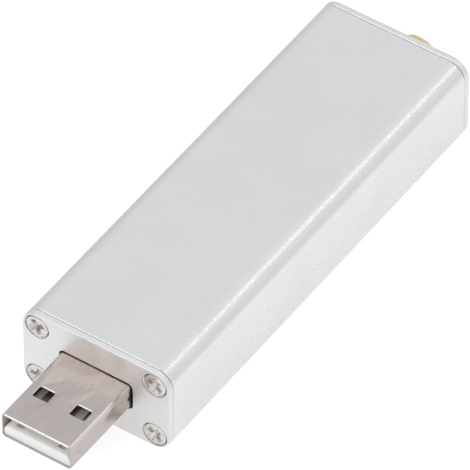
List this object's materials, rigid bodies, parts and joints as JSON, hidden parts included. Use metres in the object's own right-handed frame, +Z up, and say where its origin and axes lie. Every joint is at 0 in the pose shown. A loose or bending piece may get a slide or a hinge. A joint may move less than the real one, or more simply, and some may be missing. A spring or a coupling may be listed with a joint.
{
  "type": "usb stick spectrum analyzer",
  "caption": "Pocket spectrum analyzer: silver extruded aluminium case with screwed end plates, a type-A plug at one end and a gold coaxial jack at the other, with its receiver board inside.",
  "frame": {"origin": "middle of the footprint, on the plane that the case lies on", "axes": "+X along the case towards the coaxial jack, with the plug at -X; +Z up out of the case's top face; +Y to the left seen from the plug"},
  "size_m": [0.0976, 0.0254, 0.0152],
  "materials": {
    "anodised_aluminium": "bead-blasted clear anodised",
    "satin_aluminium": "satin anodised sheet with bright chamfered edges",
    "nickel_plate": "semi-bright nickel plate on steel",
    "gold_plate": "gold plate on brass",
    "white_plastic": "moulded white thermoplastic",
    "ptfe": "turned white PTFE",
    "solder_mask": "glass-fibre laminate with green solder mask",
    "black_epoxy": "moulded black epoxy",
    "tinplate": "tin-plated sheet steel",
    "ceramic": "fired ceramic chip",
    "tantalum_case": "moulded yellow epoxy",
    "ferrite": "sintered ferrite",
    "thick_film": "glazed thick-film resistor chip",
    "silicone": "soft filled silicone"
  },
  "bodies": {
    "case": {"case_tube": "anodised_aluminium"},
    "front_cover": {"front_plate": "satin_aluminium", "front_screw_1": "nickel_plate", "front_screw_2": "nickel_plate", "front_screw_3": "nickel_plate", "front_screw_4": "nickel_plate"},
    "chassis": {"circuit_board": "solder_mask", "plug_shell": "nickel_plate", "plug_tongue": "white_plastic", "plug_block": "white_plastic", "plug_contact_1": "gold_plate", "plug_contact_2": "gold_plate", "plug_contact_3": "gold_plate", "plug_contact_4": "gold_plate", "coax_jack_body": "gold_plate", "coax_dielectric": "ptfe", "coax_socket_pin": "gold_plate", "shield_fence": "tinplate", "shield_lid": "tinplate", "surge_diode": "black_epoxy", "ferrite_bead": "ferrite", "input_capacitor": "tantalum_case", "regulator_chip": "black_epoxy", "power_inductor": "ferrite", "output_capacitor": "tantalum_case", "processor_chip": "black_epoxy", "memory_chip": "black_epoxy", "oscillator_can": "tinplate", "bypass_capacitor_1": "ceramic", "bypass_capacitor_2": "ceramic", "bypass_capacitor_3": "ceramic", "bypass_capacitor_4": "ceramic", "bias_resistor_1": "thick_film", "bias_resistor_2": "thick_film", "bias_resistor_3": "thick_film", "bias_resistor_4": "thick_film", "coupling_capacitor": "ceramic", "input_filter": "tinplate", "tuner_chip": "black_epoxy", "tuner_inductor": "ferrite", "tuner_capacitor": "ceramic", "heat_pad": "silicone"},
    "rear_cover": {"rear_plate": "satin_aluminium", "rear_screw_1": "nickel_plate", "rear_screw_2": "nickel_plate", "rear_screw_3": "nickel_plate", "rear_screw_4": "nickel_plate"}
  },
  "joints": [
    {"name": "front_cover_slide", "type": "slide", "parent": "case", "child": "front_cover", "axis": [-1, 0, 0], "range_m": [0, 0.025]},
    {"name": "chassis_slide", "type": "slide", "parent": "case", "child": "chassis", "axis": [1, 0, 0], "range_m": [0, 0.096]},
    {"name": "rear_cover_slide", "type": "slide", "parent": "chassis", "child": "rear_cover", "axis": [1, 0, 0], "range_m": [0, 0.014]}
  ]
}
